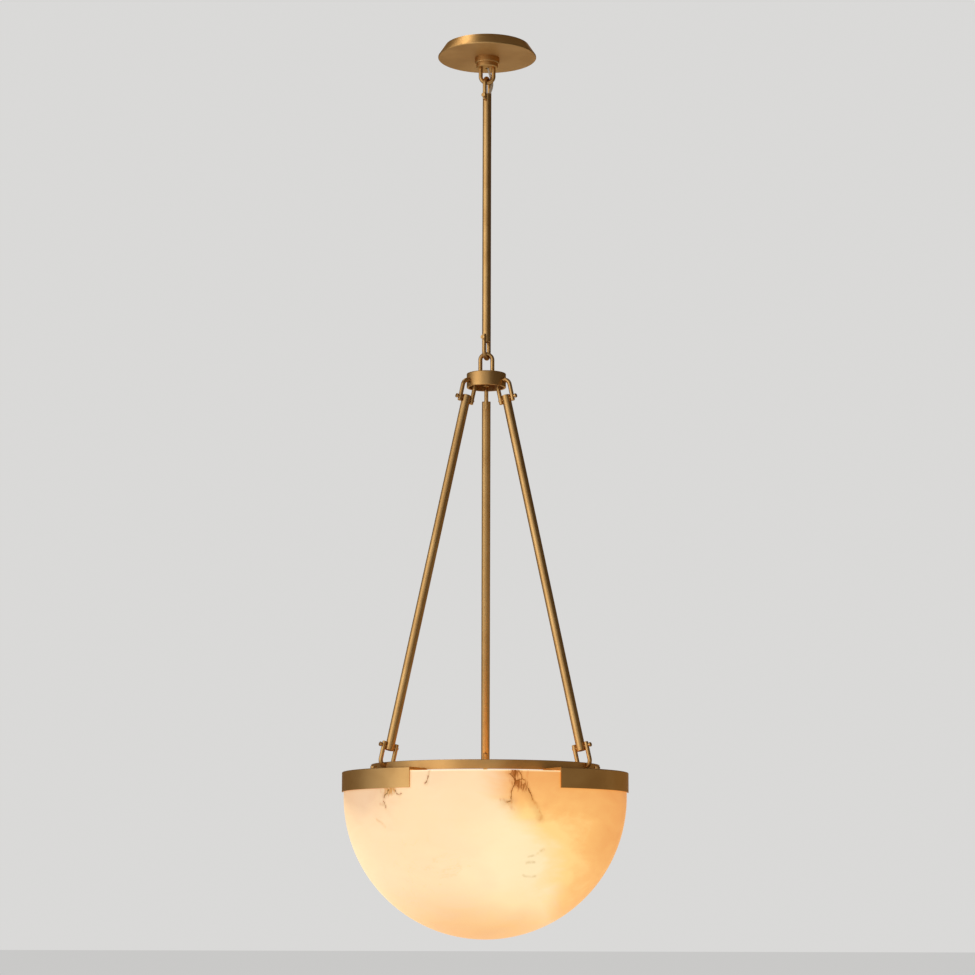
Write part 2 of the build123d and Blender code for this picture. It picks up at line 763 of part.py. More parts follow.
def cluster_body():
    """Spun cup, open below, with a hole in its side for each lampholder."""
    outer = cluster_dia / 2
    inner = outer - cluster_wall
    ceiling = cluster_top_z - cluster_wall
    bore = stem_dia / 2 + seat_gap
    cup = turned([
        (bore, cluster_top_z),
        (outer - cluster_round, cluster_top_z),
        (outer, cluster_top_z - cluster_round),
        (outer, cluster_bottom_z),
        (inner, cluster_bottom_z),
        (inner, ceiling - cluster_round),
        (inner - cluster_round, ceiling),
        (bore, ceiling),
    ])
    drill = Cylinder(holder_stub_dia / 2 + seat_gap, 2 * holder_stub_length)
    hole = Pos(outer, 0, lamp_axis_z) * Rot(0, 90, 0) * drill
    for number in range(lamp_count):
        cup -= at_azimuth(hole, lamp_azimuth(number))
    return cup


def cluster_cover():
    outer = cluster_dia - 2 * cluster_wall - 2 * seat_gap
    return tube(outer, stem_dia + 2 * seat_gap, cluster_bottom_z, cluster_bottom_z + cluster_wall)


def cover_nut():
    nut = cylinder(cover_nut_dia, cluster_bottom_z - cover_nut_height, cluster_bottom_z)
    nut = chamfer(nut.edges().group_by(Axis.Z)[0], cover_nut_edge)
    bore_end = cluster_bottom_z - cover_nut_thread
    return nut - cylinder(stem_dia + 2 * thread_gap, bore_end, cluster_bottom_z + overshoot)


def lamp_azimuth(number):
    return lamp_turn + number * 360 / lamp_count


def lampholder():
    """Drawn along Z from the cluster's side outwards: a threaded stub, a closed base and an open mouth."""
    body = cylinder(holder_dia, holder_start, holder_mouth)
    body = chamfer(body.edges().group_by(Axis.Z)[0], holder_round)
    body -= cylinder(holder_bore, holder_start + holder_floor, holder_mouth + overshoot)
    return body + cylinder(holder_stub_dia, holder_start - holder_stub_length, holder_start)


def lamp():
    """Globe lamp along Z: a screw cap in the holder, a neck and a round bulb."""
    globe_z = holder_mouth + lamp_globe_reach
    globe_radius = lamp_globe_dia / 2
    meet = math.sqrt(globe_radius**2 - (lamp_neck_dia / 2) ** 2)
    profile = Polyline(
        (0, 0, globe_z + globe_radius),
        (0, 0, lamp_cap_start),
        (lamp_cap_dia / 2, 0, lamp_cap_start),
        (lamp_cap_dia / 2, 0, holder_mouth),
        (lamp_neck_dia / 2, 0, holder_mouth + lamp_neck_flare),
        (lamp_neck_dia / 2, 0, globe_z - meet),
    )
    bulb = ThreePointArc(
        (lamp_neck_dia / 2, 0, globe_z - meet),
        (globe_radius, 0, globe_z),
        (0, 0, globe_z + globe_radius),
    )
    return revolve(make_face(profile + bulb), Axis.Z)


def lamp_place(number):
    """Frame of a holder and its lamp: Z points outwards from the cluster's side."""
    return Rot(0, 0, lamp_azimuth(number) - 90) * Pos(0, 0, lamp_axis_z) * Rot(0, 90, 0)


# ---------------------------------------------------------------- write the nodes
os.makedirs("parts", exist_ok=True)

save("crossbar", crossbar())
save("ground_screw", ground_screw())
save("threaded_nipple", threaded_nipple())
save("nipple_locknut", nipple_locknut())
save("canopy_shell", canopy_shell())
save("collar_ring", collar_ring())
save("loop_base", loop_base())
save("canopy_loop", canopy_loop())
save("supply_lead", supply_lead())

save("upper_shackle", link_place(upper_bow_z) * shackle())
save("upper_pin", link_place(upper_pin_z) * pin())
save("down_tube", down_tube())
save("rod_lead", rod_lead())
save("lower_shackle", link_place(lower_bow_z) * Rot(180, 0, 0) * shackle())
save("lower_pin", link_place(lower_pin_z) * pin())

save("hub_cup", hub_cup())
save("hub_loop", hub_loop())
save("hub_loop_nuts", hub_loop_nuts())
save("hub_bushing", hub_bushing())

for rod_side, rod_azimuth in rod_azimuths.items():
    save_tripod_rod(rod_side, rod_azimuth)
    save("clip_" + rod_side, clip(rod_azimuth))
    save("clamp_block_" + rod_side, clamp_block(rod_azimuth))

save("gallery_ring", gallery_ring())
save("rim_pads", rim_pads())
save("alabaster_bowl", alabaster_bowl())
save("toe_pads", toe_pads())
save("clamp_bolts", clamp_bolts())

save("lamp_bridge", lamp_bridge())
save("bridge_screws", bridge_screws())
save("cluster_stem", cluster_stem())
save("bridge_nuts", bridge_nuts())
save("cluster_body", cluster_body())
save("cluster_cover", cluster_cover())
save("cover_nut", cover_nut())
for lamp_number in range(lamp_count):
    place = lamp_place(lamp_number)
    save("lampholder_" + str(lamp_number + 1), place * lampholder())
    save("lamp_" + str(lamp_number + 1), place * lamp())
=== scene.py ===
import math

import bmesh
import bpy
import numpy as np
from mathutils import Matrix, Vector


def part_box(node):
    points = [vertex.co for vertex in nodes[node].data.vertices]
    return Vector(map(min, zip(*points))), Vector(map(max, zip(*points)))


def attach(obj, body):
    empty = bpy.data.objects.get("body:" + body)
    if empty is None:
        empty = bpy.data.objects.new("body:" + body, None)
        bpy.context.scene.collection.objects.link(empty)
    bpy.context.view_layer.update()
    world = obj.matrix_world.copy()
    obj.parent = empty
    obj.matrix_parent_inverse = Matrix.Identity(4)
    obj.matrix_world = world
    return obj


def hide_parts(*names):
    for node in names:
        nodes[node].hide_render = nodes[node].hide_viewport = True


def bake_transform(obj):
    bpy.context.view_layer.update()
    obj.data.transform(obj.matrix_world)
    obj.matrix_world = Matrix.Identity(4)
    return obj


# Hanging light with a stone bowl, in metres, +Z up, its origin in the ceiling plane.
# Azimuths are in degrees, counted from the front (-Y), positive towards +X.

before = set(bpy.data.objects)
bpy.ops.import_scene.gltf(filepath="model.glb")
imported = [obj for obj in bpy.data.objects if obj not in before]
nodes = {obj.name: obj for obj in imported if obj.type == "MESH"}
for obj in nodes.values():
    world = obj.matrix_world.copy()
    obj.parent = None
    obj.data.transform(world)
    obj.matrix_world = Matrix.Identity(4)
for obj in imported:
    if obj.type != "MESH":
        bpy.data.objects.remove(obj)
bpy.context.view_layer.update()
print("frame loaded:", len(nodes), "nodes")

stoneLow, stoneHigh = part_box("alabaster_bowl")
stone = {
    "radius": (stoneHigh.x - stoneLow.x) / 2,
    "wall": 0.015,
    "rim": stoneHigh.z,
    "centre": stoneLow.z + (stoneHigh.x - stoneLow.x) / 2,
    "edge": 0.0015,          # rounding of the rim
    "grooveTop": 0.015,      # below the rim
    "grooveHeight": 0.009,
    "grooveDepth": 0.006,
    "turnSteps": 288,
    "unevenness": 0.00018,   # hand finish
}


def outward(azimuth):
    a = math.radians(azimuth)
    return Vector((math.sin(a), -math.cos(a), 0))


def middleOf(node):
    low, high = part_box(node)
    return (low + high) / 2


# each lamp's globe ends flush with the far end of its box, and its axis is level
lampLook = {
    "globe": 0.0225,         # radius
    "glow": (1.0, 0.86, 0.62),
    "edge": (1.0, 0.70, 0.38),
    "cap": (0.022, 0.034),   # from the globe's middle, where the light turns to the edge colour
    "glass": (0.85, 0.82, 0.76),
    "roughness": 0.25,
    "strength": 2.2,
}


def globeCentre(node):
    middle = middleOf(node)
    way = Vector((middle.x, middle.y, 0)).normalized()
    points = np.array([v.co for v in nodes[node].data.vertices])
    reach = (points @ np.array(way)).max()
    return Vector((0, 0, middle.z)) + way * (reach - lampLook["globe"])


lampNames = sorted(name for name in nodes if name.startswith("lamp_") and name[5:].isdigit())
globes = [globeCentre(name) for name in lampNames]


class Wire:
    # one shader socket; Python's operators on it add Math nodes to its material
    def __init__(self, paint, socket):
        self.paint = paint
        self.socket = socket

    def __add__(self, other):
        return self.paint.calc("ADD", self, other)

    def __sub__(self, other):
        return self.paint.calc("SUBTRACT", self, other)

    def __rsub__(self, other):
        return self.paint.calc("SUBTRACT", other, self)

    def __mul__(self, other):
        return self.paint.calc("MULTIPLY", self, other)

    def __truediv__(self, other):
        return self.paint.calc("DIVIDE", self, other)

    def __rtruediv__(self, other):
        return self.paint.calc("DIVIDE", other, self)

    def __pow__(self, other):
        return self.paint.calc("POWER", self, other)

    def __abs__(self):
        return self.paint.calc("ABSOLUTE", self)

    __radd__ = __add__
    __rmul__ = __mul__


class Paint:
    # one material and the nodes in it
    def __init__(self, name):
        self.material = bpy.data.materials.new(name)
        self.material.use_nodes = True
        self.tree = self.material.node_tree
        self.tree.nodes.clear()
        self.place = self.make("ShaderNodeTexCoord", {}, {}, "Object")

    def make(self, kind, settings, inputs, output=0):
        # settings come first, then each socket's value or link
        node = self.tree.nodes.new(kind)
        for key, value in settings.items():
            if key == "stops":
                ramp = node.color_ramp.elements
                while len(ramp) < len(value):
                    ramp.new(0.5)
                for element, (position, colour) in zip(ramp, value):
                    element.position = position
                    element.color = (*colour, 1)
            else:
                setattr(node, key, value)
        for key, value in inputs.items():
            if isinstance(value, Wire):
                self.tree.links.new(value.socket, node.inputs[key])
            else:
                node.inputs[key].default_value = value
        return Wire(self, node.outputs[output]) if len(node.outputs) else node

    def calc(self, operation, *values, clamp=False):
        settings = {"operation": operation, "use_clamp": clamp}
        return self.make("ShaderNodeMath", settings, dict(enumerate(values)))

    def vector(self, operation, *values, output=0):
        return self.make("ShaderNodeVectorMath", {"operation": operation}, dict(enumerate(values)), output)

    def scaled(self, vector, factor):
        return self.make("ShaderNodeVectorMath", {"operation": "SCALE"}, {0: vector, "Scale": factor})

    def step(self, value, low, high, fromLow=0.0, toHigh=1.0):
        # smooth step of value from low to high; low may lie above high
        flip = low > high
        inputs = {0: value, 1: min(low, high), 2: max(low, high)}
        inputs.update({3: toHigh if flip else fromLow, 4: fromLow if flip else toHigh})
        return self.make("ShaderNodeMapRange", {"interpolation_type": "SMOOTHSTEP"}, inputs)

    def noise(self, vector, scale, detail=3.0, roughness=0.5, distortion=0.0, output=0):
        inputs = {"Vector": vector, "Scale": scale, "Detail": detail, "Roughness": roughness}
        inputs["Distortion"] = distortion
        return self.make("ShaderNodeTexNoise", {}, inputs, output)

    def mix(self, factor, first, second):
        # colours; a Math node would turn them grey
        inputs = {0: factor, 6: (*first, 1) if isinstance(first, tuple) else first}
        inputs[7] = (*second, 1) if isinstance(second, tuple) else second
        return self.make("ShaderNodeMix", {"data_type": "RGBA"}, inputs, 2)

    def ramp(self, factor, *stops):
        return self.make("ShaderNodeValToRGB", {"stops": stops}, {0: factor})

    def join(self, x, y, z):
        return self.make("ShaderNodeCombineXYZ", {}, {0: x, 1: y, 2: z})

    def parts(self, vector):
        return [self.make("ShaderNodeSeparateXYZ", {}, {0: vector}, axis) for axis in range(3)]

    def bump(self, height):
        # height in metres
        return self.make("ShaderNodeBump", {}, {"Strength": 1.0, "Distance": 1.0, "Height": height})

    def finish(self, **inputs):
        fixed = {}
        for key, value in inputs.items():
            colour = isinstance(value, tuple) and len(value) == 3
            fixed[key.replace("_", " ")] = (*value, 1) if colour else value
        shader = self.make("ShaderNodeBsdfPrincipled", {}, fixed)
        self.make("ShaderNodeOutputMaterial", {}, {"Surface": shader})
        return self.material


brassLook = {
    "light": (0.63, 0.388, 0.152),
    "mid": (0.54, 0.308, 0.107),
    "brown": (0.28, 0.145, 0.05),
    "edgeTint": (0.90, 0.62, 0.36),      # colour kept where the metal is seen at a flat angle
    "cloud": {"scale": 17.0, "detail": 3.0, "roughness": 0.5, "distortion": 0.3},
    "midAt": (0.25, 0.70),   # where the clouds turn from light to mid
    "agedAt": (0.45, 0.75),  # and on to brown
    "agedShare": 0.12,
    "fleck": {"scale": 240.0, "detail": 3.0, "roughness": 0.7},
    "spotsAt": (0.66, 0.80),
    "spotShare": 0.20,
    "brushShare": 0.4,       # of the light colour in the brush lines
    "brushBase": 0.12,
    "roughness": 0.40,
    "brushRough": 0.14,      # what each adds to the roughness
    "agedRough": 0.04,
    "spotRough": 0.08,
    "mattRough": 0.30,
    "lacquer": 0.15,
    "lacquerRoughness": 0.36,
    "grain": 1300.0,         # brush lines per metre, about
    "grainRun": 9.0,         # how slowly a line changes along its length
    "grainHeight": 0.000006,
}


def agedBrass(name, grain="round", turn=None, tone=0.0, mattBelow=None):
    # brushed brass with a warm lacquer: the brush runs round Z, along Z (after turn), or in no direction;
    # under the height mattBelow it is blasted and matt
    paint = Paint(name)
    place = paint.place
    if turn is not None:
        place = paint.make("ShaderNodeMapping", {"vector_type": "POINT"}, {"Vector": place, "Rotation": turn})
    x, y, z = paint.parts(place)
    look = brassLook
    fine, run = look["grain"], look["grainRun"]
    if grain == "round":
        radius = (x * x + y * y) ** 0.5
        axisGuard = 0.0001
        across = paint.join(x / (radius + axisGuard) * run, y / (radius + axisGuard) * run, (radius + z) * fine)
    elif grain == "along":
        across = paint.join(x * fine, y * fine, z * run * 4)
    else:
        across = paint.scaled(place, fine * 0.35)
    brush = paint.noise(across, 1.0, detail=2.0, roughness=0.6)
    cloud = paint.noise(place, **look["cloud"])
    fleck = paint.noise(place, **look["fleck"])
    spots = paint.step(fleck, *look["spotsAt"])
    aged = paint.step(cloud, *look["agedAt"])
    colour = paint.mix(paint.step(cloud, *look["midAt"]), look["light"], look["mid"])
    colour = paint.mix(aged * look["agedShare"] + spots * look["spotShare"] + tone, colour, look["brown"])
    colour = paint.mix((brush - 0.5) * look["brushShare"] + look["brushBase"], colour, look["light"])
    rough = look["roughness"] + (brush - 0.5) * look["brushRough"]
    rough = rough + aged * look["agedRough"] + spots * look["spotRough"]
    if mattBelow is not None:
        rough = rough + paint.step(z, mattBelow + 0.0003, mattBelow) * look["mattRough"]
    return paint.finish(
        Base_Color=colour, Metallic=1.0, Roughness=rough, Normal=paint.bump(brush * look["grainHeight"]),
        Specular_Tint=look["edgeTint"], Coat_Weight=look["lacquer"], Coat_Roughness=look["lacquerRoughness"],
    )


platingLook = {"crystals": 300.0, "shade": 0.88, "height": 0.000002}


def plainMetal(name, colour, roughness):
    # zinc or coloured plating: a fine crystal mottle
    paint = Paint(name)
    mottle = paint.noise(paint.place, platingLook["crystals"])
    shade = tuple(c * platingLook["shade"] for c in colour)
    return paint.finish(
        Base_Color=paint.mix(paint.step(mottle, 0.30, 0.70), colour, shade), Metallic=1.0,
        Roughness=roughness + (mottle - 0.5) * 0.08, Normal=paint.bump(mottle * platingLook["height"]),
    )


skinLook = {"shade": 0.86, "height": 0.00002, "gloss": 0.5}


def plainSkin(name, colour, roughness, scale=160.0):
    # rubber, porcelain or plastic: a faint change of tone and a very shallow texture
    paint = Paint(name)
    mottle = paint.noise(paint.place, scale, detail=4.0)
    shade = tuple(c * skinLook["shade"] for c in colour)
    return paint.finish(
        Base_Color=paint.mix(mottle, colour, shade), Roughness=roughness + (mottle - 0.5) * 0.12,
        Normal=paint.bump(mottle * skinLook["height"]), Specular_IOR_Level=skinLook["gloss"],
    )


def opalGlass(name, globe):
    # lit opal: evenly bright, a little warmer towards the cap
    paint = Paint(name)
    gap = paint.vector("DISTANCE", paint.place, tuple(globe), output=1)
    colour = paint.mix(paint.step(gap, *lampLook["cap"]), lampLook["glow"], lampLook["edge"])
    return paint.finish(
        Base_Color=lampLook["glass"], Roughness=lampLook["roughness"], Emission_Color=colour,
        Emission_Strength=lampLook["strength"],
    )


alabasterLook = {
    # the stone unlit: its paler and its darker clouds, and its amber part
    "body": (0.74, 0.66, 0.55),
    "bodyShade": (0.70, 0.59, 0.47),
    "bodyAmber": (0.66, 0.47, 0.28),
    # glow at rising light, painted as emission: in the cream part of the stone, and in its amber part to the right of
    # the long vein
    "cream": [(0.0, (0.55, 0.30, 0.13)), (0.35, (0.75, 0.475, 0.235)), (1.0, (0.81, 0.64, 0.35))],
    "amber": [(0.0, (0.42, 0.12, 0.02)), (0.38, (0.68, 0.26, 0.04)), (0.75, (0.80, 0.39, 0.09)),
              (1.0, (0.84, 0.55, 0.18))],
    "rimGlow": (0.90, 0.74, 0.42),
    "insideGlow": (0.30, 0.17, 0.06),
    # marks in the cream part and in the amber part
    "core": ((0.15, 0.055, 0.009), (0.20, 0.055, 0.004)),
    "ink": ((0.36, 0.21, 0.075), (0.44, 0.17, 0.03)),
    "stain": ((0.42, 0.19, 0.035), (0.27, 0.068, 0.004)),
    "haloShare": 0.26,
    "softShare": 0.40,
    "hairShare": 0.22,
    "hazeShare": 0.24,
    "stainShares": (0.92, 0.85),     # in the glow and in the body
    "coreShares": (0.82, 0.90),
    # painted lamp light in the stone's glow
    "cavity": 0.20,          # light that the bowl's inside throws about
    "reach": 0.082,          # lamp to the nearest stone
    "lampSize": 0.35,        # keeps the light finite close to a lamp
    "floor": 0.50,           # light at which the glow is dimmest
    "span": 0.50,            # from there to the brightest
    "inside": 0.62,          # glow of the bowl's inside against its outside
    "roughness": 0.42,
    "crystalRough": 0.10,
    "coreRough": 0.15,
    "gloss": 0.35,
    "crystalHeight": 0.00003,
}

stoneNoise = {
    "wide": {"scale": 9.0, "detail": 4.0, "roughness": 0.55, "distortion": 0.6},
    "wisp": {"scale": 14.0, "detail": 5.0, "roughness": 0.6, "distortion": 1.1},
    "crystal": {"scale": 190.0, "detail": 3.0, "roughness": 0.6},
    "wander": {"scale": 70.0, "detail": 3.0, "roughness": 0.6},
    "broken": {"scale": 260.0, "detail": 3.0, "roughness": 0.7},
    "strokes": {"scale": 520.0, "detail": 2.0, "roughness": 0.6},
    "uneven": {"scale": 130.0, "detail": 2.0},
    "field": {"scale": 16.0, "detail": 5.0, "roughness": 0.6, "distortion": 0.5},
    "patch": {"scale": 7.0, "detail": 1.0},
}
# a noise's Z against its X and Y: over 1 lays its marks flat, under 1 stands them up
stoneStretch = {"wisp": 3.2, "broken": 0.35, "strokes": 0.16}
cloudShares = {"wide": 0.42, "wisp": 0.26, "crystal": 0.05}     # how far each changes the light

# the parts of the stone, in x and in depth below the rim; the amber part is partly the stone's colour and partly
# painted light
zones = {
    "borderSlope": 1.10,     # the amber's border goes right as it goes down
    "borderStart": -0.022,
    "borderLeast": 0.012,
    "borderMost": 0.090,
    "borderSoft": 0.026,
    # painted light: the bottom is coloured amber, in its base colour and its glow, for its oranger, dimmer light
    "under": (0.140, 0.250),     # depths over which the bottom turns amber
    "underMost": 0.95,
    "shadeAcross": (-0.09, -0.20),   # the top left corner gets less light
    "shadeDown": (0.10, 0.01),
    "shadeMost": 0.62,
    "sway": (0.06, 0.04),        # how far the wide clouds and the wisps move the border
    "underSway": 0.05,
    # painted glow: the rim's edge is drawn brighter, where lamp light from inside catches it
    "edge": (0.0028, 0.0008),    # the rim's bright edge
    "edgeShare": 0.6,
}

# veins as routes of (azimuth, depth below the rim)
veins = {
    "crisp": [
        [(8.8, 0.0054), (10.1, 0.0059), (11.2, 0.0110), (11.6, 0.0141)],
        [(11.0, 0.0), (11.8, 0.0033), (11.5, 0.0084), (11.7, 0.0141), (11.0, 0.0193), (10.2, 0.0280),
         (9.8, 0.0363), (10.1, 0.0422)],
        [(10.1, 0.0422), (8.6, 0.0430)],
        [(11.6, 0.0141), (13.7, 0.0137), (14.6, 0.0119), (16.0, 0.0146)],
        [(14.6, 0.0119), (14.1, 0.0073), (12.8, 0.0022)],
        [(15.8, 0.0185), (17.1, 0.0241), (18.2, 0.0344), (18.7, 0.0395)],
        [(-41.3, 0.0248), (-41.8, 0.0304), (-43.1, 0.0339), (-43.3, 0.0361)],
        [(-43.8, 0.0411), (-42.9, 0.0461), (-42.9, 0.0497)],
        [(-37.2, 0.0263), (-36.5, 0.0314), (-35.4, 0.0345), (-34.5, 0.0321)],
        [(-22.9, 0.0082), (-23.2, 0.0138), (-23.7, 0.0178)],
        [(104.0, 0.012), (107.0, 0.031), (105.0, 0.052), (109.0, 0.071)],
        [(107.0, 0.031), (112.0, 0.040), (114.0, 0.058)],
        [(201.0, 0.0), (203.0, 0.018), (199.0, 0.034), (202.0, 0.056), (208.0, 0.078)],
        [(203.0, 0.018), (209.0, 0.026), (212.0, 0.044)],
    ],
    "soft": [
        [(16.0, 0.0146), (16.4, 0.0082), (17.1, 0.0011)],
        [(8.6, 0.0430), (7.4, 0.0404), (5.9, 0.0405)],
        [(10.1, 0.0422), (9.5, 0.0476), (11.1, 0.0537)],
        [(18.7, 0.0395), (20.5, 0.0487), (22.6, 0.0603), (21.9, 0.0660)],
        [(-41.3, 0.0248), (-39.4, 0.0244), (-37.2, 0.0263)],
        [(-41.8, 0.0304), (-39.7, 0.0311)],
        [(-45.9, 0.0447), (-43.8, 0.0462)],
        [(-45.3, 0.0261), (-45.3, 0.0295)],
        [(-48.8, 0.0659), (-45.7, 0.0693), (-44.5, 0.0757)],
        [(-21.8, 0.0015), (-22.9, 0.0082)],
        [(19.3, 0.1162), (22.7, 0.1121), (25.6, 0.1067)],
        [(18.8, 0.1241), (22.5, 0.1227)],
        [(18.1, 0.1401), (24.3, 0.1419)],
        [(109.0, 0.071), (106.0, 0.088)],
        [(238.0, 0.095), (243.0, 0.108), (241.0, 0.123)],
    ],
    "stain": [
        [(11.9, 0.0165), (13.6, 0.0196), (15.4, 0.0222)],
        [(11.3, 0.0010), (11.6, 0.0040)],
        [(-41.6, 0.0262), (-38.6, 0.0254)],
        [(105.5, 0.028), (108.0, 0.036)],
        [(203.0, 0.014), (201.0, 0.030)],
    ],
    "haze": [
        [(13.4, 0.0205), (16.6, 0.0330), (19.5, 0.0480), (22.0, 0.0640)],
        [(11.0, 0.0420), (7.5, 0.0440)],
        [(-40.0, 0.0240), (-43.0, 0.0320)],
        [(107.0, 0.036), (111.0, 0.060)],
        [(201.0, 0.030), (206.0, 0.062)],
    ],
}
# half widths: where a vein ends, and where it is at its full strength
veinWidths = {
    "crisp": (0.00152, 0.00024),
    "halo": (0.0050, 0.0),
    "soft": (0.0034, 0.0),
    "stain": (0.0094, 0.0010),
    "haze": (0.0100, 0.0),
    "hair": (0.012, 0.0),    # in the slow noise, not metres
}
veinShape = {
    "wander": 0.008,         # metres that a route strays
    "softBroken": (0.30, 0.62),      # where a line is broken off and where it is whole
    "hairBroken": (0.4, 0.6),
    "hairPatch": (0.56, 0.68),
    "strokeReach": 0.018,
    "strokeAt": (0.64, 0.46),
    "strokeLeast": 0.48,     # what stays of a stain between its strokes
}


def onStone(azimuth, depth):
    # the point of the stone's outside at that azimuth, depth below the rim
    z = stone["rim"] - depth
    below = max(0.0, stone["centre"] - z)
    radius = math.sqrt(stone["radius"] ** 2 - below ** 2)
    return outward(azimuth) * radius + Vector((0, 0, z))


def nearRoute(paint, point, route):
    # distance from the point to the nearest of the route's straight runs
    nearest = None
    for start, end in zip(route, route[1:]):
        a = onStone(*start)
        run = onStone(*end) - a
        away = paint.vector("SUBTRACT", point, tuple(a))
        share = paint.vector("DOT_PRODUCT", away, tuple(run), output=1)
        share = paint.calc("MULTIPLY", share, 1 / run.length_squared, clamp=True)
        gap = paint.vector("DISTANCE", away, paint.scaled(tuple(run), share), output=1)
        nearest = gap if nearest is None else paint.calc("MINIMUM", nearest, gap)
    return nearest


def stretched(paint, point, kind):
    point = paint.vector("MULTIPLY", point, (1.0, 1.0, stoneStretch[kind]))
    return paint.noise(point, **stoneNoise[kind])


def alabaster(name):
    # painted glow: the stone's emission colour stands in for lamp light from inside; each lamp adds light that
    # falls off with the square of its distance, clouds in the stone hold some of it back, and what gets through is
    # yellower where it is weaker
    paint = Paint(name)
    place = paint.place
    look = alabasterLook
    light = look["cavity"]
    for globe in globes:
        gap = paint.vector("DISTANCE", place, tuple(globe), output=1)
        light = 1 / ((gap / look["reach"]) ** 2 + look["lampSize"]) + light
    wide = paint.noise(place, **stoneNoise["wide"])
    wisp = stretched(paint, place, "wisp")
    crystal = paint.noise(place, **stoneNoise["crystal"])
    cloud = (wide - 0.5) * cloudShares["wide"] + (wisp - 0.5) * cloudShares["wisp"]
    cloud = cloud + (crystal - 0.5) * cloudShares["crystal"]
    through = light * (1 + cloud)

    wander = paint.noise(place, **stoneNoise["wander"], output=1)
    wander = paint.vector("SUBTRACT", wander, (0.5, 0.5, 0.5))
    bent = paint.vector("ADD", place, paint.scaled(wander, veinShape["wander"]))
    broken = stretched(paint, place, "broken")
    strokes = stretched(paint, bent, "strokes")     # a stain hangs down in short strokes
    # each route's point leans on the last route's result by a trillionth of a metre, which makes the renderer
    # work the routes out one after another; all at once they would fill its shader stack
    gaps = {}
    for kind, routes in veins.items():
        gaps[kind] = 1.0
        for route in routes:
            gap = nearRoute(paint, bent, route)
            gaps[kind] = paint.calc("MINIMUM", gaps[kind], gap)
            bent = paint.vector("ADD", bent, paint.scaled((1e-12, 0, 0), gap))
    uneven = paint.noise(place, **stoneNoise["uneven"])
    core = paint.step(gaps["crisp"] / (uneven * 1.3 + 0.3), *veinWidths["crisp"])
    halo = paint.step(gaps["crisp"], *veinWidths["halo"])
    soft = paint.step(gaps["soft"], *veinWidths["soft"]) * paint.step(broken, *veinShape["softBroken"])
    stain = paint.step(gaps["stain"] + (strokes - 0.5) * veinShape["strokeReach"], *veinWidths["stain"])
    stain = stain * paint.step(strokes, *veinShape["strokeAt"], fromLow=veinShape["strokeLeast"])
    haze = paint.step(gaps["haze"], *veinWidths["haze"])

    # faint hair lines where a slow noise crosses its middle, in a few patches
    field = paint.noise(place, **stoneNoise["field"])
    patch = paint.step(paint.noise(place, **stoneNoise["patch"]), *veinShape["hairPatch"])
    hair = paint.step(abs(field - 0.5), *veinWidths["hair"]) * patch * paint.step(broken, *veinShape["hairBroken"])

    # the amber part starts at the long vein, further right the deeper down, and takes in the bottom; it is partly the
    # stone's colour and partly painted light, the oranger, dimmer glow towards the right side and the bottom
    x, y, height = paint.parts(place)
    depth = stone["rim"] - height
    border = paint.calc("MINIMUM", depth * zones["borderSlope"] + zones["borderStart"], zones["borderMost"])
    border = paint.calc("MAXIMUM", border, zones["borderLeast"])
    side = x + (wide - 0.5) * zones["sway"][0] + (wisp - 0.5) * zones["sway"][1] - border
    amber = paint.step(side, -zones["borderSoft"], zones["borderSoft"])
    # painted light: the bottom turns amber for its oranger, dimmer glow
    under = paint.step(depth + (wisp - 0.5) * zones["underSway"], *zones["under"], toHigh=zones["underMost"])
    amber = paint.calc("MAXIMUM", amber, under)
    shaded = paint.step(x, *zones["shadeAcross"]) * paint.step(depth, *zones["shadeDown"]) * zones["shadeMost"]

    # 0 where the stone is dimmest, 1 where it is brightest
    level = through - look["floor"] - shaded * look["span"]
    level = paint.calc("MULTIPLY", level, 1 / look["span"], clamp=True)
    glow = paint.mix(amber, paint.ramp(level, *look["cream"]), paint.ramp(level, *look["amber"]))
    # painted glow along the rim's edge
    edge = paint.step(height, *(stone["rim"] - below for below in zones["edge"]))
    glow = paint.mix(edge * zones["edgeShare"], glow, look["rimGlow"])

    ink, stainInk, coreInk = (paint.mix(amber, *look[kind]) for kind in ("ink", "stain", "core"))
    lines = soft * look["softShare"] + hair * look["hairShare"] + haze * look["hazeShare"]
    marks = paint.calc("ADD", halo * look["haloShare"], lines, clamp=True)
    glow = paint.mix(marks, glow, ink)
    glow = paint.mix(stain * look["stainShares"][0], glow, stainInk)
    glow = paint.mix(core * look["coreShares"][0], glow, coreInk)

    # the inside's painted glow is weaker: it starts past the middle of the wall, counted from the middle of the half
    # ball
    down = paint.calc("MINIMUM", height - stone["centre"], 0.0)
    fromMiddle = paint.vector("LENGTH", paint.join(x, y, down), output=1)
    within = paint.step(fromMiddle, *(stone["radius"] - stone["wall"] * share for share in (0.6, 0.95)))
    glow = paint.mix(within * (1 - look["inside"]), glow, look["insideGlow"])

    body = paint.mix(paint.step(wide, 0.35, 0.65), look["body"], look["bodyShade"])
    body = paint.mix(amber, body, look["bodyAmber"])
    body = paint.mix(marks, body, ink)
    body = paint.mix(stain * look["stainShares"][1], body, stainInk)
    body = paint.mix(core * look["coreShares"][1], body, coreInk)
    rough = look["roughness"] + (crystal - 0.5) * look["crystalRough"] + core * look["coreRough"]
    return paint.finish(
        Base_Color=body, Roughness=rough, Normal=paint.bump(crystal * look["crystalHeight"]),
        Specular_IOR_Level=look["gloss"], Emission_Color=glow, Emission_Strength=1.0,
    )


